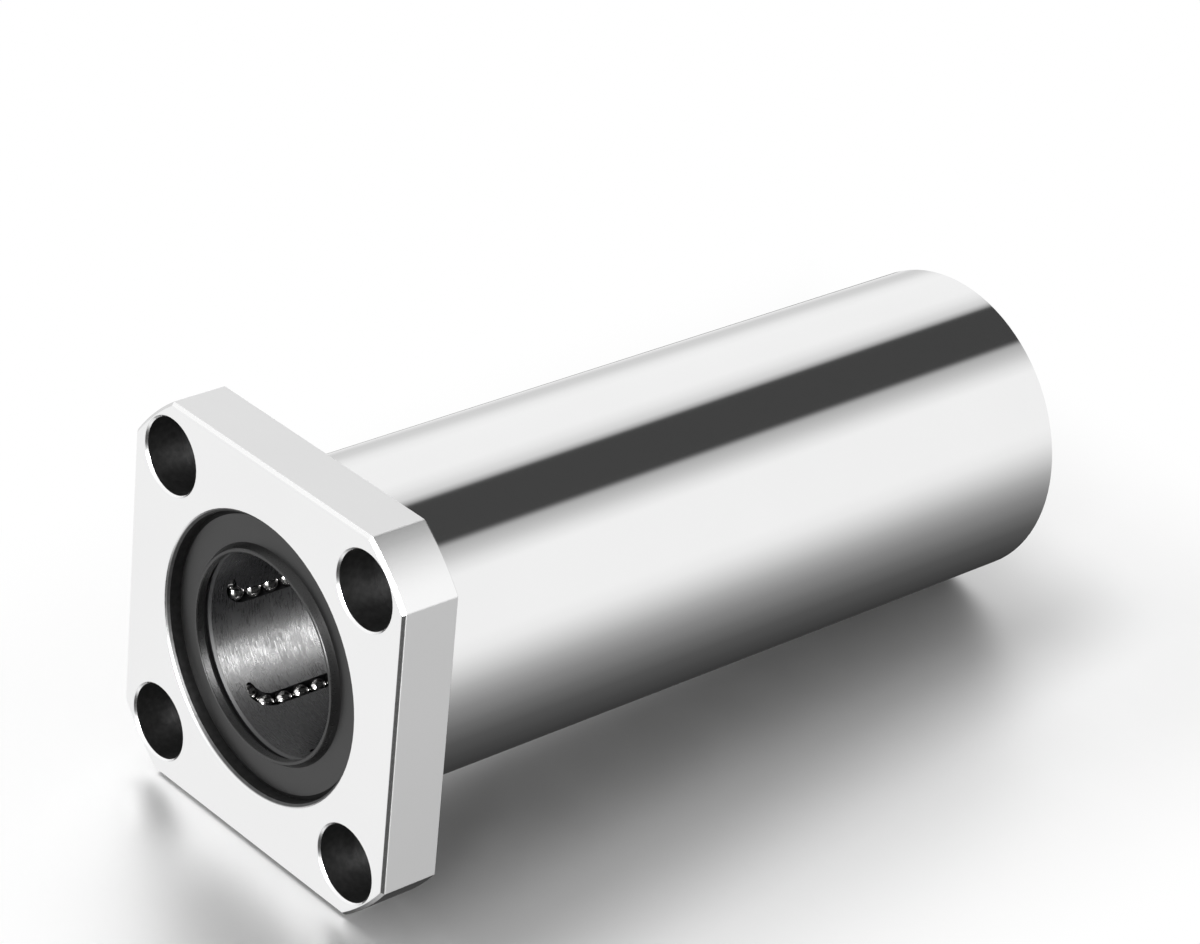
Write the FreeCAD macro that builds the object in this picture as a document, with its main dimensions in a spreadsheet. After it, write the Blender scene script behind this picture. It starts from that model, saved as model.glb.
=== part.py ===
import FreeCAD, Part
import Sketcher
import math
import os

# Square flange linear bearing, long type, for a 25 mm shaft
#
# Row frame: the shaft runs along Y and Z is up. The origin is on the shaft's axis, in the
# plane of the flange's mounting face. The flange reaches to -Y, the front, and the sleeve
# to +Y, the rear.
# Mouth frame, in which the retainers, seals, snap rings and balls are drawn: the shaft runs
# along Y, which points out of the bearing, and the mouth of the sleeve is at Y = 0. A depth
# is a distance into the bearing, so it is a negative Y.

# Driving sizes, in millimetres and degrees
SIZES = (
    ("shaft_dia", 25.0, "shaft that the loaded balls and the seal lips touch"),
    ("bearing_wall", 7.5, "from the shaft out to the ground outside of the sleeve"),
    ("sleeve_length", 112.0, "whole length, flange included"),
    ("rim_chamfer", 0.5, "chamfer round the rear rim of the sleeve"),
    ("flange_thick", 8.0, "thickness of the flange"),
    ("flat_rim", 5.0, "from the sleeve out to the milled flats of the flange"),
    ("corner_rim", 0.75, "from a counterbore out to the turned corner of the flange"),
    ("flange_chamfer", 0.4, "chamfer round the edges of the flange"),
    ("bolt_gap", 2.75, "from the sleeve out to a bolt hole"),
    ("bolt_hole", 5.5, "clearance hole for an M5 cap screw"),
    ("head_bore", 9.5, "counterbore for the screw head"),
    ("head_depth", 5.1, "depth of the counterbore"),
    ("hole_chamfer", 0.25, "chamfer round each rim of a bolt hole"),
    ("mouth_step", 1.58, "step from the ball space out to the wall of the mouth"),
    ("mouth_chamfer", 0.45, "chamfer round each mouth of the sleeve"),
    ("circuits", 6, "ball tracks in each retainer"),
    ("track_turn", 1.5, "angle from the X axis up to the first track"),
    ("ball_dia", 2.381, "3/32 inch bearing ball"),
    ("ball_gap", 0.04, "least gap between balls where they turn"),
    ("turn_balls", 3, "balls in each turn of a track"),
    ("race_play", 0.05, "gap between a loaded ball and its race"),
    ("race_width", 4.4, "width of a race"),
    ("race_root", 0.6, "how far the bar of a race sinks into the wall"),
    ("track_play", 0.1, "gap between a ball and the wall of its track"),
    ("return_play", 0.2, "gap between a returning ball and the sleeve"),
    ("ridge_play", 0.2, "gap between the ridges of a retainer and the sleeve"),
    ("ridge_wall", 0.7, "wall of a ridge beside the return track"),
    ("body_play", 0.3, "gap between the body of a retainer and the races"),
    ("bore_play", 0.25, "gap between the bore of a retainer and the shaft"),
    ("bore_chamfer", 0.3, "chamfer round each end of a retainer's bore"),
    ("end_wall", 0.8, "wall of a retainer past the end of a track"),
    ("collar_play", 0.1, "gap between the retainer's collar and the snap ring groove"),
    ("collar_gap", 0.15, "gap between the collar and the end of the races"),
    ("middle_gap", 0.1, "gap between the two retainers"),
    ("nose_wall", 1.75, "wall of the retainer's nose, inside the snap ring"),
    ("nose_gap", 0.1, "gap between the retainer's nose and the seal"),
    ("seal_recess", 1.6, "depth of the seal's face in the mouth"),
    ("seal_thick", 1.0, "thickness of the seal's ring"),
    ("seal_fit", 0.03, "gap between the seal and the wall of the mouth"),
    ("seal_round", 0.6, "width of the seal's sloped outer edge"),
    ("seal_slope", 0.35, "height of the seal's sloped outer edge"),
    ("lip_height", 0.95, "how far the seal's lip stands out of its face"),
    ("lip_root", 1.0, "wall of the lip at the seal's face"),
    ("lip_tip", 0.5, "wall of the lip at its tip"),
    ("lip_round", 0.1, "chamfer on each edge of the lip's tip"),
    ("lip_undercut", 0.75, "hollow behind the lip, clear of the shaft"),
    ("ring_thick", 0.8, "thickness of a snap ring"),
    ("ring_play", 0.05, "gap between a snap ring and each wall of its groove"),
    ("ring_seat", 0.85, "depth of the snap ring groove in the wall of the mouth"),
    ("ring_clear", 0.3, "gap between the snap ring and the retainer's nose"),
    ("ring_gap", 40.0, "opening of a snap ring, as an angle"),
    ("ring_eye", 1.5, "hole for pliers near each end of a snap ring"),
    ("ring_eye_turn", 5.0, "angle from an end of the ring to its hole"),
)

# Sizes that follow from the driving ones
FITS = (
    ("ball_radius", "Sizes.ball_dia / 2"),
    ("load_radius", "Sizes.shaft_dia / 2 + Fits.ball_radius"),
    ("race_radius", "Fits.load_radius + Fits.ball_radius + Sizes.race_play"),
    ("track_radius", "Fits.ball_radius + Sizes.track_play"),
    # The outside goes up from the shaft too: a 40 mm sleeve, a 51 mm bolt circle, and a flange
    # that is 50 mm square with its corners turned to 62 mm
    ("sleeve_radius", "Sizes.shaft_dia / 2 + Sizes.bearing_wall"),
    ("bolt_radius", "Fits.sleeve_radius + Sizes.bolt_gap + Sizes.bolt_hole / 2"),
    ("flange_half", "Fits.sleeve_radius + Sizes.flat_rim"),
    ("flange_radius", "Fits.bolt_radius + Sizes.head_bore / 2 + Sizes.corner_rim"),
    # Depths that stack up behind the mouth: seal, snap ring, collar of the retainer
    ("seal_back", "Sizes.seal_recess + Sizes.seal_thick"),
    ("groove_end", "Fits.seal_back + Sizes.ring_thick + 2 * Sizes.ring_play"),
    ("collar_depth", "Fits.groove_end + Sizes.collar_play"),
    ("nose_depth", "Fits.seal_back + Sizes.nose_gap"),
    ("inner_end", "Sizes.sleeve_length / 2 - Sizes.middle_gap / 2"),
    # A track is a closed loop of straight, turn, straight and turn. It is filled with balls
    # at one pitch, which has to leave the balls apart where the line between them is a chord
    ("half_step", "90 / Sizes.turn_balls"),
    ("least_pitch", "(Sizes.ball_dia + Sizes.ball_gap) * pi * Fits.half_step / 180 / sin(Fits.half_step)"),
    ("track_room", "Fits.inner_end - Fits.collar_depth - 2 * (Sizes.end_wall + Fits.track_radius)"),
    ("row_balls", "floor(Fits.track_room / Fits.least_pitch - 2 * Sizes.turn_balls / pi)"),
    ("pitch", "Fits.track_room / (Fits.row_balls + 2 * Sizes.turn_balls / pi)"),
    ("turn_radius", "Sizes.turn_balls * Fits.pitch / pi"),
    ("outer_turn", "Fits.collar_depth + Sizes.end_wall + Fits.track_radius + Fits.turn_radius"),
    ("row_length", "Fits.row_balls * Fits.pitch"),
    ("inner_turn", "Fits.outer_turn + Fits.row_length"),
    ("return_side", "2 * Fits.turn_radius"),
    ("return_radius", "sqrt(Fits.load_radius ^ 2 + Fits.return_side ^ 2)"),
    # Radii of the retainer and of the sleeve's inside, from the balls outwards
    ("bore_radius", "Sizes.shaft_dia / 2 + Sizes.bore_play"),
    ("nose_radius", "Fits.bore_radius + Sizes.nose_wall"),
    ("body_radius", "Fits.race_radius - Sizes.body_play"),
    ("relief_radius", "Fits.return_radius + Fits.ball_radius + Sizes.return_play"),
    ("ridge_radius", "Fits.relief_radius - Sizes.ridge_play"),
    ("mouth_radius", "Fits.relief_radius + Sizes.mouth_step"),
    ("groove_radius", "Fits.mouth_radius + Sizes.ring_seat"),
)

doc = FreeCAD.newDocument("SquareFlangeLinearBearing")

sizes = doc.addObject("Spreadsheet::Sheet", "Sizes")
for row, (alias, size, meaning) in enumerate(SIZES, start=1):
    sizes.set(f"A{row}", meaning)
    sizes.set(f"B{row}", str(size))
    sizes.setAlias(f"B{row}", alias)
doc.recompute()

fits = doc.addObject("App::VarSet", "Fits")
for name, formula in FITS:
    fits.addProperty("App::PropertyFloat", name, "Fits")
    fits.setExpression(name, formula)
doc.recompute()


# Sketches and features


def new_body(label):
    """An empty body, which may hold several balls that don't touch."""
    body = doc.addObject("PartDesign::Body", label)
    body.Label = label
    body.AllowCompound = True
    return body


def origin_item(body, role):
    """One of the body's own origin planes or axes."""
    return next(item for item in body.Origin.OriginFeatures if item.Role == role)


def new_sketch(body, name, plane, across="0", along="0", out="0", turn="0"):
    """A sketch on an origin plane, moved by three expressions and turned by a fourth."""
    sketch = body.newObject("Sketcher::SketchObject", name)
    sketch.AttachmentSupport = [(origin_item(body, plane), "")]
    sketch.MapMode = "FlatFace"
    sketch.AttachmentOffset = FreeCAD.Placement(
        FreeCAD.Vector(), FreeCAD.Rotation(FreeCAD.Vector(0, 0, 1), 0))
    for axis, shift in zip("xyz", (across, along, out)):
        if shift != "0":
            sketch.setExpression(f"AttachmentOffset.Base.{axis}", shift)
    if turn != "0":
        sketch.setExpression("AttachmentOffset.Rotation.Angle", turn)
    return sketch


def hold(sketch, kind, *where, size):
    """A dimension of a sketch, bound to its expression."""
    start = sketch.evalExpression(size)
    constraint = sketch.addConstraint(Sketcher.Constraint(kind, *where, start))
    sketch.setExpression(f"Constraints[{constraint}]", size)


def draw_outline(sketch, corners):
    """A closed outline of straight lines, each corner an (across, along) pair of expressions."""
    points = [FreeCAD.Vector(sketch.evalExpression(across), sketch.evalExpression(along), 0)
              for across, along in corners]
    first = sketch.GeometryCount
    count = len(points)
    for here, point in enumerate(points):
        sketch.addGeometry(Part.LineSegment(point, points[(here + 1) % count]))
    for here, (across, along) in enumerate(corners):
        line = first + here
        after = first + (here + 1) % count
        sketch.addConstraint(Sketcher.Constraint("Coincident", line, 2, after, 1))
        hold(sketch, "DistanceX", -1, 1, line, 1, size=across)
        hold(sketch, "DistanceY", -1, 1, line, 1, size=along)


def draw_circle(sketch, radius, across="0", along="0"):
    """A circle whose centre and radius are expressions."""
    middle = FreeCAD.Vector(sketch.evalExpression(across), sketch.evalExpression(along), 0)
    circle = sketch.addGeometry(
        Part.Circle(middle, FreeCAD.Vector(0, 0, 1), sketch.evalExpression(radius)))
    hold(sketch, "DistanceX", -1, 1, circle, 3, size=across)
    hold(sketch, "DistanceY", -1, 1, circle, 3, size=along)
    hold(sketch, "Radius", circle, size=radius)


def draw_half_disc(sketch, radius, drop="0"):
    """Half a disc with its straight side on the sketch's upright axis, below the origin by drop."""
    size = sketch.evalExpression(radius)
    middle = FreeCAD.Vector(0, -sketch.evalExpression(drop), 0)
    up = FreeCAD.Vector(0, size, 0)
    arc = sketch.addGeometry(Part.ArcOfCircle(
        Part.Circle(middle, FreeCAD.Vector(0, 0, 1), size), -math.pi / 2, math.pi / 2))
    chord = sketch.addGeometry(Part.LineSegment(middle + up, middle - up))
    sketch.addConstraint(Sketcher.Constraint("Coincident", arc, 2, chord, 1))
    sketch.addConstraint(Sketcher.Constraint("Coincident", arc, 1, chord, 2))
    sketch.addConstraint(Sketcher.Constraint("PointOnObject", arc, 3, -2))
    sketch.addConstraint(Sketcher.Constraint("PointOnObject", chord, 1, -2))
    sketch.addConstraint(Sketcher.Constraint("PointOnObject", chord, 2, -2))
    hold(sketch, "Radius", arc, size=radius)
    hold(sketch, "DistanceY", -1, 1, arc, 3, size=f"0 - {drop}")


def turned(body, name, kind, sketch, angle="360", axis="V_Axis"):
    """A Revolution or a Groove of a sketch about one of its axes."""
    feature = body.newObject(f"PartDesign::{kind}", name)
    feature.Profile = (sketch, [""])
    feature.ReferenceAxis = (sketch, [axis])
    feature.setExpression("Angle", angle)
    body.Tip = feature
    return feature


def pushed(body, name, kind, sketch, length, along_normal=True):
    """A Pad or a Pocket of a sketch, along its normal or against it."""
    feature = body.newObject(f"PartDesign::{kind}", name)
    feature.Profile = (sketch, [""])
    feature.Type = 0
    feature.setExpression("Length", length)
    # A pad goes along the normal by itself, and a pocket against it
    feature.Reversed = along_normal == (kind == "Pocket")
    body.Tip = feature
    return feature


def set_round(body, name, features, count):
    """Copies of features, evenly spaced round the shaft's axis."""
    pattern = body.newObject("PartDesign::PolarPattern", name)
    pattern.Originals = features
    pattern.Axis = (origin_item(body, "Y_Axis"), [""])
    pattern.Angle = 360
    pattern.setExpression("Occurrences", count)
    body.Tip = pattern
    return pattern


def place_at_end(body, end, turn="0"):
    """Sets a piece drawn in the mouth frame at the front or rear end, turned round the shaft."""
    place, roll = {
        "front": ("0 - Sizes.flange_thick", 180),
        "rear": ("Sizes.sleeve_length - Sizes.flange_thick", 0),
    }[end]
    body.setExpression("Placement", (
        f"create(<<placement>>; create(<<vector>>; 0; {place}; 0); "
        f"create(<<rotation>>; 0; 0 - ({turn}); {roll}))"))


# Flanged sleeve: one piece of hardened steel


def draw_flange(sketch):
    """The milled square with corners turned to a circle, about the origin."""
    half = sketch.evalExpression("Fits.flange_half")
    radius = sketch.evalExpression("Fits.flange_radius")
    corner = math.atan2(half, math.sqrt(radius ** 2 - half ** 2))
    circle = Part.Circle(FreeCAD.Vector(), FreeCAD.Vector(0, 0, 1), radius)
    # Each quarter is an arc, ending at the start of the flat that follows it
    for quarter in range(4):
        turn = quarter * math.pi / 2
        start = turn + math.pi / 2 - corner
        end = turn + corner
        following = turn + math.pi - corner
        sketch.addGeometry(Part.ArcOfCircle(circle, start, end))
        sketch.addGeometry(Part.LineSegment(
            FreeCAD.Vector(radius * math.cos(end), radius * math.sin(end), 0),
            FreeCAD.Vector(radius * math.cos(following), radius * math.sin(following), 0)))
    for quarter in range(4):
        arc = 2 * quarter
        flat = arc + 1
        next_arc = (arc + 2) % 8
        sketch.addConstraint(Sketcher.Constraint("Coincident", arc, 2, flat, 1))
        sketch.addConstraint(Sketcher.Constraint("Coincident", flat, 2, next_arc, 1))
        sketch.addConstraint(Sketcher.Constraint("Coincident", arc, 3, -1, 1))
        # The first and third flats lie level, at the top and bottom
        level = quarter % 2 == 0
        sketch.addConstraint(Sketcher.Constraint("Horizontal" if level else "Vertical", flat))
        side = "" if quarter in (0, 3) else "0 - "
        hold(sketch, "DistanceY" if level else "DistanceX", -1, 1, flat, 1,
             size=f"{side}Fits.flange_half")
        if arc == 0:
            hold(sketch, "Radius", arc, size="Fits.flange_radius")
        else:
            sketch.addConstraint(Sketcher.Constraint("Equal", 0, arc))


def make_flanged_sleeve():
    """Square flange and ground sleeve, with the bolt holes, mouths, grooves and races."""
    body = new_body("flanged_sleeve")

    flange_sketch = new_sketch(body, "FlangeOutline", "XZ_Plane")
    draw_flange(flange_sketch)
    flange = pushed(body, "Flange", "Pad", flange_sketch, "Sizes.flange_thick")
    doc.recompute()

    # Every edge of the two faces: the other edges join one face to the other
    rims = [f"Edge{number}" for number, edge in enumerate(flange.Shape.Edges, start=1)
            if edge.BoundBox.YLength < sizes.flange_thick / 2]
    chamfer = body.newObject("PartDesign::Chamfer", "FlangeChamfer")
    chamfer.Base = (flange, rims)
    chamfer.setExpression("Size", "Sizes.flange_chamfer")
    body.Tip = chamfer

    tail = "(Sizes.sleeve_length - Sizes.flange_thick)"
    outside = "Fits.sleeve_radius"
    barrel_sketch = new_sketch(body, "BarrelProfile", "XY_Plane")
    draw_outline(barrel_sketch, (
        ("0", "0 - Sizes.flange_thick / 2"),
        (outside, "0 - Sizes.flange_thick / 2"),
        (outside, f"{tail} - Sizes.rim_chamfer"),
        (f"{outside} - Sizes.rim_chamfer", tail),
        ("0", tail),
    ))
    turned(body, "Barrel", "Revolution", barrel_sketch)

    # The inside is the same from both ends, so one list of (radius, depth) serves for both
    steps = (
        ("Fits.mouth_radius + Sizes.mouth_chamfer", "0"),
        ("Fits.mouth_radius", "Sizes.mouth_chamfer"),
        ("Fits.mouth_radius", "Fits.seal_back"),
        ("Fits.groove_radius", "Fits.seal_back"),
        ("Fits.groove_radius", "Fits.groove_end"),
        ("Fits.relief_radius", "Fits.groove_end"),
    )
    front = [(radius, f"{depth} - Sizes.flange_thick") for radius, depth in steps]
    rear = [(radius, f"{tail} - ({depth})") for radius, depth in reversed(steps)]
    inside_sketch = new_sketch(body, "InsideProfile", "XY_Plane")
    draw_outline(inside_sketch,
                 [("0", "0 - Sizes.flange_thick")] + front + rear + [("0", tail)])
    turned(body, "Inside", "Groove", inside_sketch)

    # Each race is a bar along the wall, its flat side ground to touch the loaded balls. The
    # races stop where the tracks turn, so the balls can rise off them
    races = []
    for end, start in (
            ("Front", "0 - (Fits.outer_turn - Sizes.flange_thick)"),
            ("Rear", f"0 - ({tail} - Fits.inner_turn)")):
        sketch = new_sketch(body, f"{end}RaceSection", "XZ_Plane", out=start,
                            turn="Sizes.track_turn")
        draw_outline(sketch, (
            ("Fits.race_radius", "0 - Sizes.race_width / 2"),
            ("Fits.relief_radius + Sizes.race_root", "0 - Sizes.race_width / 2"),
            ("Fits.relief_radius + Sizes.race_root", "Sizes.race_width / 2"),
            ("Fits.race_radius", "Sizes.race_width / 2"),
        ))
        races.append(pushed(body, f"{end}Race", "Pad", sketch, "Fits.row_length",
                            along_normal=False))
    set_round(body, "Races", races, "Sizes.circuits")

    # A bolt hole is turned about its own axis, on the diagonal of the flange
    hole_sketch = new_sketch(body, "HoleProfile", "XY_Plane")
    hole_sketch.AttachmentOffset = FreeCAD.Placement(
        FreeCAD.Vector(), FreeCAD.Rotation(FreeCAD.Vector(0, 1, 0), -45))
    middle = "Fits.bolt_radius"
    front_face = "0 - Sizes.flange_thick"
    draw_outline(hole_sketch, (
        (middle, front_face),
        (f"{middle} + Sizes.head_bore / 2 + Sizes.hole_chamfer", front_face),
        (f"{middle} + Sizes.head_bore / 2", f"{front_face} + Sizes.hole_chamfer"),
        (f"{middle} + Sizes.head_bore / 2", f"{front_face} + Sizes.head_depth"),
        (f"{middle} + Sizes.bolt_hole / 2", f"{front_face} + Sizes.head_depth"),
        (f"{middle} + Sizes.bolt_hole / 2", "0 - Sizes.hole_chamfer"),
        (f"{middle} + Sizes.bolt_hole / 2 + Sizes.hole_chamfer", "0"),
        (middle, "0"),
    ))
    hole = turned(body, "BoltHole", "Groove", hole_sketch, axis="Edge8")
    set_round(body, "BoltHoles", [hole], "4")
    return body


# Retainers: black resin, moulded in one piece, with one closed track for each ball circuit


def draw_track(sketch):
    """The centre line of a track: two straights and two half turns, first straight at Y = 0.

    The sketch's X runs along the shaft, out of the mouth, and its Y towards the return row.
    """
    outer = -sketch.evalExpression("Fits.outer_turn")
    inner = -sketch.evalExpression("Fits.inner_turn")
    radius = sketch.evalExpression("Fits.turn_radius")
    normal = FreeCAD.Vector(0, 0, 1)
    load = sketch.addGeometry(Part.LineSegment(
        FreeCAD.Vector(inner, 0, 0), FreeCAD.Vector(outer, 0, 0)))
    outer_turn = sketch.addGeometry(Part.ArcOfCircle(
        Part.Circle(FreeCAD.Vector(outer, radius, 0), normal, radius), -math.pi / 2, math.pi / 2))
    back = sketch.addGeometry(Part.LineSegment(
        FreeCAD.Vector(outer, 2 * radius, 0), FreeCAD.Vector(inner, 2 * radius, 0)))
    inner_turn = sketch.addGeometry(Part.ArcOfCircle(
        Part.Circle(FreeCAD.Vector(inner, radius, 0), normal, radius), math.pi / 2, 3 * math.pi / 2))
    sketch.addConstraint(Sketcher.Constraint("Tangent", load, 2, outer_turn, 1))
    sketch.addConstraint(Sketcher.Constraint("Tangent", outer_turn, 2, back, 1))
    sketch.addConstraint(Sketcher.Constraint("Tangent", back, 2, inner_turn, 1))
    sketch.addConstraint(Sketcher.Constraint("Tangent", inner_turn, 2, load, 1))
    sketch.addConstraint(Sketcher.Constraint("PointOnObject", load, 1, -1))
    sketch.addConstraint(Sketcher.Constraint("Horizontal", load))
    hold(sketch, "DistanceX", -1, 1, load, 1, size="0 - Fits.inner_turn")
    hold(sketch, "DistanceX", -1, 1, load, 2, size="0 - Fits.outer_turn")
    hold(sketch, "Radius", outer_turn, size="Fits.turn_radius")


def make_retainer(end):
    """A resin cage with a nose, a collar, and a ridge over each return track."""
    body = new_body(f"{end}_retainer")

    collar_end = "Fits.outer_turn - Sizes.collar_gap"
    profile = new_sketch(body, "CageProfile", "XY_Plane")
    draw_outline(profile, [(radius, f"0 - ({depth})") for radius, depth in (
        ("Fits.bore_radius + Sizes.bore_chamfer", "Fits.nose_depth"),
        ("Fits.nose_radius", "Fits.nose_depth"),
        ("Fits.nose_radius", "Fits.collar_depth"),
        ("Fits.ridge_radius", "Fits.collar_depth"),
        ("Fits.ridge_radius", collar_end),
        ("Fits.body_radius", collar_end),
        ("Fits.body_radius", "Fits.inner_end"),
        ("Fits.bore_radius + Sizes.bore_chamfer", "Fits.inner_end"),
        ("Fits.bore_radius", "Fits.inner_end - Sizes.bore_chamfer"),
        ("Fits.bore_radius", "Fits.nose_depth + Sizes.bore_chamfer"),
    )])
    turned(body, "Cage", "Revolution", profile)

    # A ridge starts as a square bar, and is turned down with its five fellows
    near_side = "Fits.return_side - (Fits.track_radius + Sizes.ridge_wall)"
    far_side = "Fits.return_side + Fits.track_radius + Sizes.ridge_wall"
    bar_section = new_sketch(body, "RidgeSection", "XZ_Plane", out=collar_end)
    draw_outline(bar_section, (
        ("Fits.bore_radius", near_side),
        ("Fits.relief_radius + Sizes.ridge_wall", near_side),
        ("Fits.relief_radius + Sizes.ridge_wall", far_side),
        ("Fits.bore_radius", far_side),
    ))
    bar = pushed(body, "Ridge", "Pad", bar_section, f"Fits.inner_end - ({collar_end})")
    set_round(body, "Ridges", [bar], "Sizes.circuits")
    trim_sketch = new_sketch(body, "RidgeTrim", "XY_Plane")
    draw_outline(trim_sketch, (
        ("Fits.ridge_radius", "0 - Fits.collar_depth"),
        ("Fits.ridge_radius", "0 - (Fits.inner_end + Sizes.ridge_wall)"),
        ("Fits.relief_radius + 4 * Sizes.ridge_wall", "0 - (Fits.inner_end + Sizes.ridge_wall)"),
        ("Fits.relief_radius + 4 * Sizes.ridge_wall", "0 - Fits.collar_depth"),
    ))
    turned(body, "RidgesTurned", "Groove", trim_sketch)

    # The track lies in the plane that touches the loaded balls' circle: a round tunnel, which
    # opens into the bore where the loaded balls meet the shaft, and is open on top over the
    # straight of the return row
    line = new_sketch(body, "TrackLine", "YZ_Plane", out="Fits.load_radius")
    draw_track(line)
    section = new_sketch(body, "TrackSection", "XZ_Plane", out="Fits.inner_turn")
    draw_circle(section, "Fits.track_radius", across="Fits.load_radius")
    tunnel = body.newObject("PartDesign::SubtractivePipe", "Track")
    tunnel.Profile = (section, [""])
    tunnel.Spine = (line, ["Edge1", "Edge2", "Edge3", "Edge4"])
    tunnel.Mode = "Standard"
    body.Tip = tunnel
    opening = new_sketch(body, "ReturnOpening", "YZ_Plane", out="Fits.load_radius")
    draw_outline(opening, (
        ("0 - Fits.inner_turn", "Fits.return_side - Fits.track_radius"),
        ("0 - Fits.outer_turn", "Fits.return_side - Fits.track_radius"),
        ("0 - Fits.outer_turn", "Fits.return_side + Fits.track_radius"),
        ("0 - Fits.inner_turn", "Fits.return_side + Fits.track_radius"),
    ))
    top = pushed(body, "ReturnTop", "Pocket", opening, "Fits.ridge_radius")
    set_round(body, "Tracks", [tunnel, top], "Sizes.circuits")

    place_at_end(body, end, "Sizes.track_turn")
    return body


# Seals: black rubber rings with a lip that wipes the shaft


def make_seal(end):
    """A flat ring in the mouth, with a raised lip and a hollow behind it."""
    body = new_body(f"{end}_seal")
    rim = "Fits.mouth_radius - Sizes.seal_fit"
    lip = "Sizes.shaft_dia / 2"
    tip = "Sizes.seal_recess - Sizes.lip_height"
    profile = new_sketch(body, "SealProfile", "XY_Plane")
    draw_outline(profile, [(radius, f"0 - ({depth})") for radius, depth in (
        (rim, "Fits.seal_back"),
        (rim, "Sizes.seal_recess + Sizes.seal_slope"),
        (f"{rim} - Sizes.seal_round", "Sizes.seal_recess"),
        (f"{lip} + Sizes.lip_root", "Sizes.seal_recess"),
        (f"{lip} + Sizes.lip_tip", f"{tip} + Sizes.lip_round"),
        (f"{lip} + Sizes.lip_tip - Sizes.lip_round", tip),
        (f"{lip} + Sizes.lip_round", tip),
        (lip, f"{tip} + Sizes.lip_round"),
        (lip, "Sizes.seal_recess"),
        (f"{lip} + Sizes.lip_undercut", "Fits.seal_back"),
    )])
    turned(body, "Seal", "Revolution", profile)
    place_at_end(body, end)
    return body


# Snap rings: flat spring steel, each with a gap and two holes for pliers


def make_snap_ring(end):
    """A gapped flat ring that stops the retainer's collar, in a groove behind the seal."""
    body = new_body(f"{end}_snap_ring")
    outside = "Fits.groove_radius - Sizes.ring_play"
    inside = "Fits.nose_radius + Sizes.ring_clear"
    near = "0 - (Fits.seal_back + Sizes.ring_play)"
    section = new_sketch(body, "RingSection", "XY_Plane")
    draw_outline(section, (
        (inside, near),
        (outside, near),
        (outside, f"{near} - Sizes.ring_thick"),
        (inside, f"{near} - Sizes.ring_thick"),
    ))
    ring = turned(body, "Ring", "Revolution", section, "360 - Sizes.ring_gap")
    ring.Midplane = True

    # The gap is on the far side from the sketch, and the holes stand near its two ends
    swing = "(180 - Sizes.ring_gap / 2 - Sizes.ring_eye_turn)"
    reach = f"({outside} + {inside}) / 2"
    holes = new_sketch(body, "RingHoles", "XZ_Plane", out="Fits.seal_back")
    for side in ("", "0 - "):
        draw_circle(holes, "Sizes.ring_eye / 2",
                    across=f"({reach}) * cos({swing})", along=f"{side}({reach}) * sin({swing})")
    pushed(body, "Holes", "Pocket", holes, "Fits.groove_end - Fits.seal_back")
    place_at_end(body, end)
    return body


# Balls: hardened steel, in rows and turns that fill each track at one pitch


def circuit_angle(number):
    """Angle of one track round the shaft, from the X axis up."""
    return f"Sizes.track_turn + 360 / Sizes.circuits * {number - 1}"


def make_row(label, end, number, side):
    """A straight row of balls: side is how far it lies beside the loaded row."""
    body = new_body(label)
    sketch = new_sketch(body, "HalfBall", "XY_Plane", across="Fits.load_radius",
                        along="0 - (Fits.outer_turn + Fits.pitch / 2)", out=side)
    draw_half_disc(sketch, "Fits.ball_radius")
    ball = turned(body, "Ball", "Revolution", sketch)
    row = body.newObject("PartDesign::LinearPattern", "Row")
    row.Originals = [ball]
    row.Direction = (origin_item(body, "Y_Axis"), [""])
    row.Reversed = True
    row.Mode = "Spacing"
    row.setExpression("Offset", "Fits.pitch")
    row.setExpression("Occurrences", "Fits.row_balls")
    body.Tip = row
    place_at_end(body, end, circuit_angle(number))
    return body


def make_turn(label, end, number, depth, outwards):
    """The balls in one half turn of a track, which bends out to the mouth or in from it."""
    body = new_body(label)
    sketch = new_sketch(body, "HalfBall", "YZ_Plane", across=f"0 - {depth}",
                        along="Fits.turn_radius", out="Fits.load_radius",
                        turn="Fits.half_step" if outwards else "0 - Fits.half_step")
    draw_half_disc(sketch, "Fits.ball_radius", drop="Fits.turn_radius")
    ball = turned(body, "Ball", "Revolution", sketch)
    bend = body.newObject("PartDesign::PolarPattern", "Turn")
    bend.Originals = [ball]
    bend.Axis = (sketch, ["N_Axis"])
    bend.Reversed = not outwards
    bend.Mode = "Spacing"
    bend.setExpression("Offset", "2 * Fits.half_step")
    bend.setExpression("Occurrences", "Sizes.turn_balls")
    body.Tip = bend
    place_at_end(body, end, circuit_angle(number))
    return body


parts = [make_flanged_sleeve()]
for end in ("front", "rear"):
    parts.append(make_retainer(end))
    parts.append(make_seal(end))
    parts.append(make_snap_ring(end))
    for number in range(1, int(sizes.circuits) + 1):
        parts.append(make_row(f"{end}_load_balls_{number}", end, number, "0"))
        parts.append(make_row(f"{end}_return_balls_{number}", end, number, "Fits.return_side"))
        parts.append(make_turn(f"{end}_outer_turn_balls_{number}", end, number,
                               "Fits.outer_turn", True))
        parts.append(make_turn(f"{end}_inner_turn_balls_{number}", end, number,
                               "Fits.inner_turn", False))
doc.recompute()

# Nothing is written unless every feature worked and every piece is sound
faults = [item.Name for item in doc.Objects if {"Invalid", "Error"} & set(item.State)]
faults += [body.Label for body in parts if body.Shape.isNull() or not body.Shape.isValid()]
if faults:
    raise SystemExit("failed: " + ", ".join(faults))

os.makedirs("parts", exist_ok=True)
for body in parts:
    body.Shape.exportStep(f"parts/{body.Label}.step")
    print(body.Label, len(body.Shape.Solids), round(body.Shape.Volume, 2))
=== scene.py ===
import math
import bmesh
import bpy
from mathutils import Matrix, Vector


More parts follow.
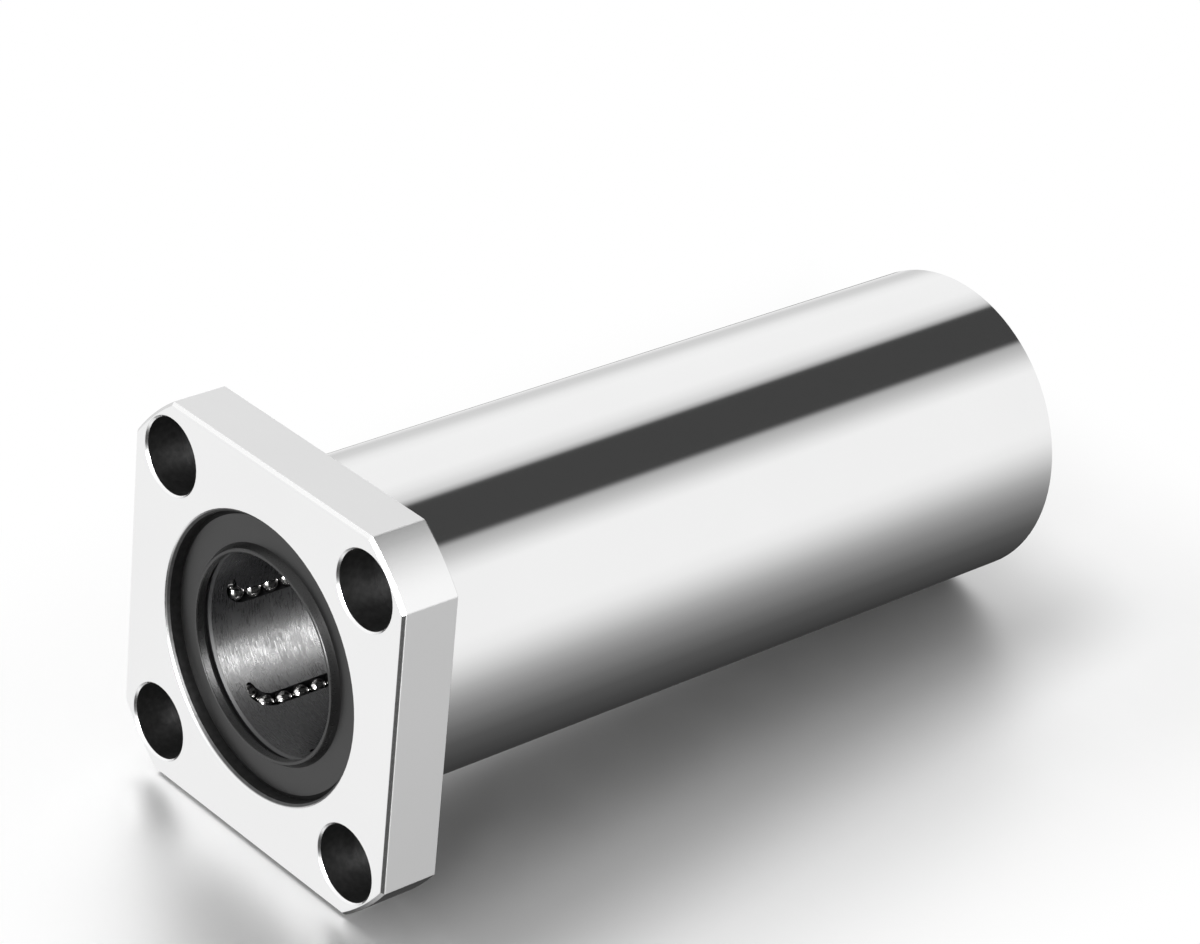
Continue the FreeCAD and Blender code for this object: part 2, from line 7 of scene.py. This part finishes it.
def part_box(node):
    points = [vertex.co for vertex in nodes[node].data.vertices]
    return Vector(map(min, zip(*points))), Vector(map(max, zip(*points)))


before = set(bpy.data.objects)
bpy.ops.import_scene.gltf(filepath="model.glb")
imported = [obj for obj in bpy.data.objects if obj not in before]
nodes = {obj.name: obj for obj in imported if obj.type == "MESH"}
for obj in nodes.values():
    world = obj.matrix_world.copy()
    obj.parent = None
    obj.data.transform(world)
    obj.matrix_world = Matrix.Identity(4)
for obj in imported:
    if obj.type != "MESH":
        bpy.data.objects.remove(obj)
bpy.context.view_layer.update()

# Flanged sleeve
# One piece of hardened bearing steel. The outside is ground and polished like a mirror, and the
# flange is lapped on its face and milled on its sides. The four counterbored holes and the mouth
# are painted dark with a mottled tone, as painted shade in these recesses. The values are the
# part's own.
sleeve_low, sleeve_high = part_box("flanged_sleeve")
flange_face = sleeve_low.y
sleeve_radius = 0.020
bolt_circle_radius = 0.0255
counterbore_radius = 0.00475
mouth_radius = 0.0175
flange_half = sleeve_high.z


def step(tree, kind, settings, **inputs):
    """One shader node: its settings, then its inputs by name or place, each a value or a socket."""
    node = tree.nodes.new(kind)
    for name, value in settings.items():
        setattr(node, name, value)
    for name, value in inputs.items():
        socket = node.inputs[int(name[1:]) if name[0] == "_" else name]
        if isinstance(value, bpy.types.NodeSocket):
            tree.links.new(value, socket)
        else:
            socket.default_value = value
    return node.outputs[0]


def sums(tree, operation, *terms):
    """A Math node of two or three terms."""
    return step(tree, "ShaderNodeMath", {"operation": operation},
                **{f"_{place}": term for place, term in enumerate(terms)})


def fade(tree, value, start, end, low=0.0, high=1.0):
    """Low up to start, high from end on, and a smooth change between them."""
    return step(tree, "ShaderNodeMapRange", {"interpolation_type": "SMOOTHSTEP"},
                _0=value, _1=start, _2=end, _3=low, _4=high)


def grain(tree, place, fineness, stretch=(1.0, 1.0, 1.0), detail=2.0):
    """Noise from 0 to 1, of so many grains to the metre, and closer along the longer stretch."""
    spread = step(tree, "ShaderNodeVectorMath", {"operation": "MULTIPLY"}, _0=place, _1=stretch)
    return step(tree, "ShaderNodeTexNoise", {}, Vector=spread, Scale=fineness, Detail=detail)


def mixed(tree, share, low, high):
    """The value low where share is 0, and high where it is 1."""
    return step(tree, "ShaderNodeMix", {"data_type": "FLOAT"}, _0=share, _2=low, _3=high)


def grey(tree, shade):
    """A grey of that shade."""
    return step(tree, "ShaderNodeCombineColor", {}, _0=shade, _1=shade, _2=shade)


def distance(tree, across, up):
    """How far a place is from the line where across and up are 0."""
    return sums(tree, "SQRT", sums(tree, "ADD", sums(tree, "MULTIPLY", across, across),
                                   sums(tree, "MULTIPLY", up, up)))


def new_finish(name):
    """A new material, its node tree, its shader, and the place on the piece, in metres."""
    material = bpy.data.materials.new(name)
    material.use_nodes = True
    tree = material.node_tree
    shader = tree.nodes["Principled BSDF"]
    place = tree.nodes.new("ShaderNodeTexCoord").outputs["Object"]
    return material, tree, shader, place


def finish_with(piece, material):
    """Gives the whole piece one material."""
    piece.data.materials.clear()
    piece.data.materials.append(material)


def ground_steel():
    """Bright steel, mirror ground outside, satin on the flange, and painted dark in the holes and
    mouth as painted shade.
    """
    material, tree, shader, place = new_finish("ground_steel")
    across, along, up = step(tree, "ShaderNodeSeparateXYZ", {}, _0=place).node.outputs
    from_axis = distance(tree, across, up)
    # The four bolt axes fall together where across and up lose their signs
    bolt_side = bolt_circle_radius / math.sqrt(2)
    to_bolt_across = sums(tree, "SUBTRACT", sums(tree, "ABSOLUTE", across), bolt_side)
    to_bolt_up = sums(tree, "SUBTRACT", sums(tree, "ABSOLUTE", up), bolt_side)
    from_bolt = distance(tree, to_bolt_across, to_bolt_up)
    behind_face = sums(tree, "SUBTRACT", along, flange_face)
    sunk = fade(tree, behind_face, 0.00024, 0.00030)
    in_hole = sums(tree, "MULTIPLY", sunk, fade(tree, from_bolt, counterbore_radius + 0.00002,
                                                counterbore_radius + 0.00006, 1.0, 0.0))
    in_mouth = fade(tree, from_axis, mouth_radius + 0.0002, mouth_radius + 0.0004, 1.0, 0.0)
    # Painted shade: the counterbores and the mouth are painted dark, for the shade that falls in
    # these recesses
    painted_shade = sums(tree, "MAXIMUM", in_hole, in_mouth)
    on_barrel = sums(tree, "MULTIPLY", fade(tree, along, 0.0, 0.0001),
                     fade(tree, from_axis, sleeve_radius - 0.0008, sleeve_radius - 0.0006))
    on_face = fade(tree, behind_face, 0.00002, 0.00006, 1.0, 0.0)
    from_middle = sums(tree, "MAXIMUM", sums(tree, "ABSOLUTE", across), sums(tree, "ABSOLUTE", up))
    on_flat = fade(tree, from_middle, flange_half - 0.00010, flange_half - 0.00003)

    cloud = grain(tree, place, 60.0, detail=3.0)
    lapping = grain(tree, place, 2600.0)
    turning = grain(tree, place, 900.0, (1.0, 14.0, 1.0), 1.0)
    shade = mixed(tree, on_barrel, 0.93, 0.85)
    shade = mixed(tree, on_face, shade, 0.86)
    shade = mixed(tree, on_flat, shade, 0.78)
    shade = sums(tree, "MULTIPLY_ADD", cloud, 0.03, shade)
    # The painted shade in the holes and mouth is a dark grey with a mottled tone
    shade_mottle = grain(tree, place, 1300.0, detail=4.0)
    painted_shade_tone = fade(tree, shade_mottle, 0.25, 0.80, 0.08, 0.12)
    colour = step(tree, "ShaderNodeMix", {"data_type": "RGBA"}, _0=painted_shade, _6=grey(tree, shade),
                  _7=grey(tree, painted_shade_tone))
    tree.links.new(colour.node.outputs[2], shader.inputs["Base Color"])
    shader.inputs["Metallic"].default_value = 1.0

    satin = mixed(tree, on_face, 0.20, 0.26)
    satin = mixed(tree, on_flat, satin, 0.60)
    satin = sums(tree, "MULTIPLY_ADD", lapping, 0.06, satin)
    rough = mixed(tree, on_barrel, satin, 0.07)
    rough = mixed(tree, painted_shade, rough, 0.42)
    tree.links.new(rough, shader.inputs["Roughness"])
    texture = mixed(tree, on_barrel, lapping, turning)
    strength = mixed(tree, on_barrel, 0.10, 0.004)
    # The barrel mirrors as a true cylinder, without the facets of its mesh
    outward = step(tree, "ShaderNodeCombineXYZ", {}, _0=across, _1=0.0, _2=up)
    outward = step(tree, "ShaderNodeVectorTransform",
                   {"vector_type": "NORMAL", "convert_from": "OBJECT", "convert_to": "WORLD"},
                   _0=outward)
    facing = tree.nodes.new("ShaderNodeNewGeometry").outputs["Normal"]
    facing = step(tree, "ShaderNodeMix", {"data_type": "VECTOR"}, _0=on_barrel, _4=facing,
                  _5=outward)
    relief = step(tree, "ShaderNodeBump", {}, Strength=strength, Distance=0.00002, Height=texture,
                  Normal=facing.node.outputs[1])
    tree.links.new(relief, shader.inputs["Normal"])
    return material


finish_with(nodes["flanged_sleeve"], ground_steel())

# Retainers
# Two cages of glossy black resin, moulded in one piece each. The bore is turned after moulding,
# which leaves fine grooves round it.
bore_radius = 0.01275
groove_pitch = 0.00005
groove_slope = 0.95


def grooved(tree, facing, along, where):
    """The normal of a surface with fine V grooves turned round the shaft's axis."""
    turns = sums(tree, "MULTIPLY", along, 2 * math.pi / groove_pitch)
    wall = sums(tree, "SIGN", sums(tree, "SINE", turns))
    lean = sums(tree, "MULTIPLY", sums(tree, "MULTIPLY", wall, groove_slope), where)
    lean = step(tree, "ShaderNodeCombineXYZ", {}, _0=0.0, _1=lean, _2=0.0)
    facing = step(tree, "ShaderNodeVectorMath", {"operation": "ADD"}, _0=facing, _1=lean)
    return step(tree, "ShaderNodeVectorMath", {"operation": "NORMALIZE"}, _0=facing)


def retainer_resin():
    """Glossy black resin, scuffed in the bore, where the shaft has run."""
    material, tree, shader, place = new_finish("retainer_resin")
    across, along, up = step(tree, "ShaderNodeSeparateXYZ", {}, _0=place).node.outputs
    from_axis = distance(tree, across, up)
    in_bore = fade(tree, from_axis, bore_radius + 0.000004, bore_radius + 0.000008, 1.0, 0.0)
    streaks = fade(tree, grain(tree, place, 1600.0, (0.4, 4.0, 0.4), 3.0), 0.32, 0.68)
    specks = fade(tree, grain(tree, place, 3800.0, (0.6, 1.2, 0.6), 3.0), 0.35, 0.65)
    blotches = fade(tree, grain(tree, place, 420.0, detail=4.0), 0.30, 0.65, 0.5)
    scuffs = sums(tree, "MULTIPLY", sums(tree, "MULTIPLY_ADD", specks, 0.4, streaks), blotches)
    shader.inputs["Base Color"].default_value = (0.008, 0.008, 0.009, 1.0)
    shader.inputs["IOR"].default_value = 1.78
    rough = mixed(tree, in_bore, 0.48, sums(tree, "MULTIPLY_ADD", scuffs, 0.18, 0.22))
    tree.links.new(rough, shader.inputs["Roughness"])
    facing = tree.nodes.new("ShaderNodeNewGeometry").outputs["Normal"]
    tree.links.new(grooved(tree, facing, along, in_bore), shader.inputs["Normal"])
    return material


cage_resin = retainer_resin()
for end in ("front", "rear"):
    finish_with(nodes[f"{end}_retainer"], cage_resin)

# Balls
# Hardened and polished steel balls, 2.4 mm across, in six closed tracks in each retainer. They
# lie loose in their tracks with a film of oil.


def ball_steel():
    """Polished steel with the faint cloud of an oil film."""
    material, tree, shader, place = new_finish("ball_steel")
    film = grain(tree, place, 900.0)
    shader.inputs["Base Color"].default_value = (0.80, 0.79, 0.78, 1.0)
    shader.inputs["Metallic"].default_value = 1.0
    tree.links.new(sums(tree, "MULTIPLY_ADD", film, 0.08, 0.03), shader.inputs["Roughness"])
    return material


polished_ball = ball_steel()
for name, node in nodes.items():
    if "_balls_" in name:
        finish_with(node, polished_ball)

# End seals
# Moulded rings of black nitrile rubber, pressed into the mouths. A raised lip wipes the shaft,
# and is ground inside.
lip_bore_radius = 0.0125
lip_outer_radius = 0.0134


def seal_rubber():
    """Satin black rubber with the fine tooth of its mould, and a shinier lip."""
    material, tree, shader, place = new_finish("seal_rubber")
    across, along, up = step(tree, "ShaderNodeSeparateXYZ", {}, _0=place).node.outputs
    from_axis = distance(tree, across, up)
    in_lip = fade(tree, from_axis, lip_bore_radius + 0.00002, lip_bore_radius + 0.00006, 1.0, 0.0)
    on_lip = fade(tree, from_axis, lip_outer_radius - 0.0001, lip_outer_radius + 0.0001, 1.0, 0.0)
    tooth = grain(tree, place, 5000.0)
    bloom = grain(tree, place, 180.0, detail=4.0)
    tree.links.new(grey(tree, mixed(tree, bloom, 0.002, 0.006)), shader.inputs["Base Color"])
    satin = sums(tree, "MULTIPLY_ADD", tooth, 0.12, 0.28)
    tree.links.new(sums(tree, "MULTIPLY_ADD", on_lip, -0.05, satin), shader.inputs["Roughness"])
    skin = step(tree, "ShaderNodeBump", {}, Strength=0.15, Distance=0.00002, Height=tooth)
    tree.links.new(grooved(tree, skin, along, in_lip), shader.inputs["Normal"])
    return material


nitrile = seal_rubber()
for end in ("front", "rear"):
    finish_with(nodes[f"{end}_seal"], nitrile)

# Snap rings
# Flat rings of oiled spring steel, sprung into a groove behind each seal.


def ring_steel():
    """Dark spring steel with an oily, uneven skin."""
    material, tree, shader, place = new_finish("ring_steel")
    skin = grain(tree, place, 700.0, detail=4.0)
    tree.links.new(grey(tree, mixed(tree, skin, 0.16, 0.30)), shader.inputs["Base Color"])
    shader.inputs["Metallic"].default_value = 1.0
    tree.links.new(sums(tree, "MULTIPLY_ADD", skin, 0.15, 0.25), shader.inputs["Roughness"])
    return material


spring_steel = ring_steel()
for end in ("front", "rear"):
    finish_with(nodes[f"{end}_snap_ring"], spring_steel)

# Floor
# A sheet of pale satin metal. The bearing lies on the rear lower edge of its flange and on the
# rear rim of the sleeve, so the sheet climbs a little towards the rear.
flange_chamfer = 0.0004
rim_chamfer = 0.0005
flange_foot = Vector((0.0, -flange_chamfer, sleeve_low.z))
rim_foot = Vector((0.0, sleeve_high.y - rim_chamfer, -sleeve_radius))
climb = math.atan2(rim_foot.z - flange_foot.z, rim_foot.y - flange_foot.y)
floor_mesh = bmesh.new()
bmesh.ops.create_circle(floor_mesh, cap_ends=True, segments=96, radius=4.0)
bmesh.ops.transform(floor_mesh, verts=floor_mesh.verts,
                    matrix=Matrix.Translation(flange_foot) @ Matrix.Rotation(climb, 4, "X"))
floor_data = bpy.data.meshes.new("floor")
floor_mesh.to_mesh(floor_data)
floor_mesh.free()
floor = bpy.data.objects.new("floor", floor_data)
bpy.context.scene.collection.objects.link(floor)


def satin_sheet():
    """Pale satin metal that gives back a soft picture of the bearing, with a painted shadow on the
    right of the sleeve, and white further off.
    """
    material, tree, shader, place = new_finish("satin_sheet")
    across, along, up = step(tree, "ShaderNodeSeparateXYZ", {}, _0=place).node.outputs
    aside = sums(tree, "ABSOLUTE", across)
    # Painted shadow: grey on the right of the sleeve, in a zone that narrows to the rear
    painted_shadow = fade(tree, sums(tree, "MULTIPLY_ADD", along, 0.12, aside), 0.032, 0.050, 0.38, 0.0)
    painted_shadow = sums(tree, "MULTIPLY", painted_shadow, fade(tree, along, -0.014, 0.002))
    painted_shadow = sums(tree, "MULTIPLY", painted_shadow, fade(tree, along, 0.100, 0.125, 1.0, 0.0))
    painted_shadow = sums(tree, "MULTIPLY", painted_shadow, fade(tree, across, -0.015, 0.010))
    tree.links.new(grey(tree, sums(tree, "SUBTRACT", 1.0, painted_shadow)), shader.inputs["Base Color"])
    shader.inputs["Metallic"].default_value = 1.0
    brushing = grain(tree, place, 90.0, (1.0, 1.0, 12.0), 2.0)
    tree.links.new(sums(tree, "MULTIPLY_ADD", brushing, 0.06, 0.40), shader.inputs["Roughness"])
    # White from a little way outside the bearing's outline
    beyond = sums(tree, "MAXIMUM", sums(tree, "SUBTRACT", aside, flange_half),
                  sums(tree, "SUBTRACT", flange_face, along))
    beyond = sums(tree, "MAXIMUM", beyond, sums(tree, "SUBTRACT", along, sleeve_high.y))
    rays = tree.nodes.new("ShaderNodeLightPath").outputs
    white = sums(tree, "MULTIPLY", fade(tree, beyond, 0.015, 0.050), rays["Is Camera Ray"])
    glow = step(tree, "ShaderNodeEmission", {}, Color=(1.0, 1.0, 1.0, 1.0), Strength=1.0)
    sheet = step(tree, "ShaderNodeMixShader", {}, _0=white, _1=shader.outputs[0], _2=glow)
    tree.links.new(sheet, tree.nodes["Material Output"].inputs["Surface"])
    return material


finish_with(floor, satin_sheet())
# What the polished steel mirrors of the sheet is in the studio's bands
floor.visible_glossy = False

# Studio
# A white room, which steel and glossy resin see in bands along the shaft: a dark strip overhead
# on the right, and grey to dark down to the floor. A lamp in front on the right lights the bore.
studio = bpy.data.worlds.new("studio")
bpy.context.scene.world = studio
studio.use_nodes = True
studio_tree = studio.node_tree
backdrop = studio_tree.nodes["Background"]
# Turns about the shaft from level right, over the top, to level left, and the light there
room_bands = (
    (-180, 0.72), (-166.3, 0.67), (-152, 0.82), (-147, 0.92), (-141, 0.3), (-135, 0.05),
    (-106.1, 0.042), (-84.6, 0.064), (-66.4, 0.097), (-52.5, 0.163), (-38.9, 0.27), (-32.1, 0.357),
    (-25.3, 0.47), (-18.6, 0.63), (-11.8, 0.79), (-5.1, 0.93), (3.4, 1), (39.7, 1), (45.7, 0.85),
    (51.7, 0.63), (58.1, 0.46), (61, 0.058), (91.2, 0.058), (93.6, 0.42), (97, 0.73), (105.1, 0.91),
    (113.5, 1), (150.4, 1), (162.3, 0.94), (180, 0.72),
)
ahead = studio_tree.nodes.new("ShaderNodeTexCoord").outputs["Generated"]
# The bands run a little askew to the shaft
room = step(studio_tree, "ShaderNodeVectorRotate", {"rotation_type": "Z_AXIS"}, Vector=ahead,
            Angle=math.radians(-17.0))
room_x, room_y, room_z = step(studio_tree, "ShaderNodeSeparateXYZ", {}, _0=room).node.outputs
about_shaft = sums(studio_tree, "MULTIPLY_ADD", sums(studio_tree, "ARCTAN2", room_z, room_x),
                   1 / (2 * math.pi), 0.5)
bands = studio_tree.nodes.new("ShaderNodeValToRGB")
ramp = bands.color_ramp
for place_in_ramp, (degrees, light) in enumerate(room_bands):
    position = degrees / 360 + 0.5
    stop = ramp.elements[place_in_ramp] if place_in_ramp < 2 else ramp.elements.new(position)
    stop.position = position
    stop.color = (light, light, light, 1.0)
studio_tree.links.new(about_shaft, bands.inputs["Fac"])
# In front of the flange the room is white, apart from the side that the camera stands on
ahead_x, ahead_y, ahead_z = step(studio_tree, "ShaderNodeSeparateXYZ", {}, _0=ahead).node.outputs
in_front = sums(studio_tree, "MULTIPLY", fade(studio_tree, ahead_y, -0.35, 0.0, 1.0, 0.0),
                fade(studio_tree, ahead_x, 0.15, 0.45, 1.0, 0.0))
seen_in_metal = step(studio_tree, "ShaderNodeMix", {"data_type": "RGBA"}, _0=in_front,
                     _6=bands.outputs["Color"], _7=(1.0, 1.0, 1.0, 1.0)).node.outputs[2]
# On the side that the camera stands on, the room is dark low down, and up beside the camera
low_down = sums(studio_tree, "MULTIPLY", fade(studio_tree, ahead_y, -0.16, 0.0, 1.0, 0.0),
                fade(studio_tree, ahead_z, -0.45, 0.0, 1.0, 0.0))
beside_camera = sums(studio_tree, "MULTIPLY", fade(studio_tree, ahead_y, -0.28, -0.12, 1.0, 0.0),
                     fade(studio_tree, ahead_y, -0.62, -0.46))
beside_camera = sums(studio_tree, "MULTIPLY", beside_camera,
                     fade(studio_tree, ahead_z, 0.50, 0.85, 1.0, 0.0))
camera_side = sums(studio_tree, "MULTIPLY", sums(studio_tree, "MAXIMUM", low_down, beside_camera),
                   fade(studio_tree, ahead_x, 0.15, 0.45))
seen_in_metal = step(studio_tree, "ShaderNodeMix", {"data_type": "RGBA"}, _0=camera_side,
                     _6=seen_in_metal, _7=(0.05, 0.05, 0.05, 1.0)).node.outputs[2]
# The ends of the room darken downwards, and the rear one is grey
end_light = sums(studio_tree, "MULTIPLY", fade(studio_tree, ahead_z, -0.30, 0.02, 0.30, 1.0),
                 fade(studio_tree, ahead_y, -0.50, 0.50, 0.70, 0.72))
end_shade = grey(studio_tree, end_light)
at_end = fade(studio_tree, sums(studio_tree, "ABSOLUTE", ahead_y), 0.84, 0.95)
seen_in_metal = step(studio_tree, "ShaderNodeMix", {"data_type": "RGBA"}, _0=at_end,
                     _6=seen_in_metal, _7=end_shade).node.outputs[2]
rays = studio_tree.nodes.new("ShaderNodeLightPath").outputs
mirrored = step(studio_tree, "ShaderNodeMix", {"data_type": "RGBA"}, _0=rays["Is Glossy Ray"],
                _6=(1.0, 1.0, 1.0, 1.0), _7=seen_in_metal).node.outputs[2]
studio_tree.links.new(mirrored, backdrop.inputs["Color"])
backdrop.inputs["Strength"].default_value = 1.0


def aim(position, target):
    """The place of something at position whose -Z looks at target."""
    look = (Vector(target) - Vector(position)).to_track_quat("-Z", "Y")
    return Matrix.Translation(position) @ look.to_matrix().to_4x4()


softbox_data = bpy.data.lights.new("front_softbox", "AREA")
softbox_data.shape = "RECTANGLE"
softbox_data.size = 0.12
softbox_data.size_y = 0.34
softbox_data.energy = 5.0
softbox = bpy.data.objects.new("front_softbox", softbox_data)
softbox.matrix_world = aim((0.30, -0.455, 0.24), (0.0, 0.0, 0.0))
bpy.context.scene.collection.objects.link(softbox)

# Camera
# A long lens from the front right and above, rolled a little as the photograph is.
camera_data = bpy.data.cameras.new("camera")
camera_data.sensor_width = 36.0
camera_data.lens = 124.94
camera = bpy.data.objects.new("camera", camera_data)
camera.location = (0.3193, -0.2638, 0.2490)
camera.rotation_euler = [math.radians(degrees) for degrees in (61.4854, -5.1209, 48.9019)]
bpy.context.scene.collection.objects.link(camera)
bpy.context.scene.camera = camera
bpy.context.scene.view_settings.view_transform = "Standard"
